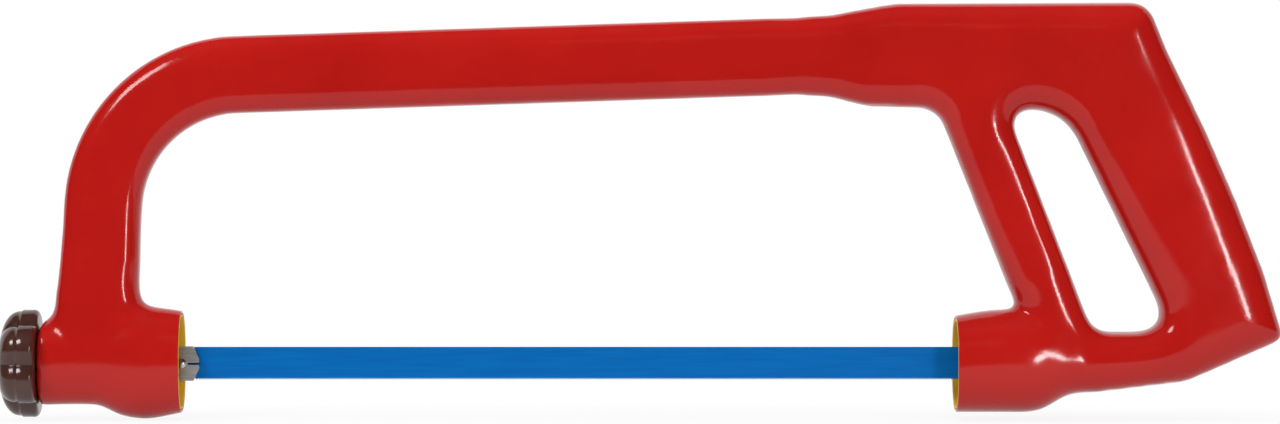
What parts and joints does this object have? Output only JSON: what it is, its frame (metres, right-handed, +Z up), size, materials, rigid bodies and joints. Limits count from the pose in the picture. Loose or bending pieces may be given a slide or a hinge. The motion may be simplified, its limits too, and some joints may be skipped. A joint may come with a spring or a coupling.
{
  "type": "insulated hacksaw",
  "caption": "Insulated hacksaw: a tube frame and D-handle under a red dipped coat, a tensioned blue blade between two recessed cups, and a brown star knob at the front.",
  "frame": {"origin": "middle of the underside of the whole saw, as it stands upright with its teeth down", "axes": "+X runs along the blade from the knob to the handle, +Z is up toward the bow, and +Y is across the blade, the way the blade comes off its studs"},
  "size_m": [0.4878, 0.0378, 0.1591],
  "materials": {
    "red_coating": "glossy dip coat",
    "yellow_coating": "satin dip coat",
    "cast_aluminium": "as cast",
    "steel": "machined",
    "blue_blade": "satin enamel",
    "knob_plastic": "polished moulding",
    "brass": "turned"
  },
  "bodies": {
    "frame": {"red_coat": "red_coating", "yellow_coat": "yellow_coating", "bow_tube": "steel", "front_head": "steel", "handle_casting": "cast_aluminium", "head_pin_lower": "steel", "head_pin_upper": "steel", "socket_pin_front": "steel", "socket_pin_rear": "steel", "rear_holder": "steel", "rear_holder_pin": "steel", "rear_stud": "steel", "thrust_washer": "steel"},
    "knob": {"knob": "knob_plastic", "knob_insert": "brass"},
    "drawbar": {"drawbar": "steel", "front_stud": "steel"},
    "blade": {"blade": "blue_blade"}
  },
  "joints": [
    {"name": "knob_turn", "type": "hinge", "parent": "frame", "child": "knob", "pos_m": [-0.2363, 0, 0.0214], "axis": [-1, 0, 0], "range_deg": [0, 720]},
    {"name": "drawbar_slide", "type": "slide", "parent": "frame", "child": "drawbar", "axis": [1, 0, 0], "range_m": [0, 0.002]},
    {"name": "blade_unhook", "type": "slide", "parent": "drawbar", "child": "blade", "axis": [0, 1, 0], "range_m": [0, 0.005]}
  ],
  "couplings": [
    {"joint": "knob_turn", "follows": "drawbar_slide", "rad_per_m": 6283.2}
  ]
}
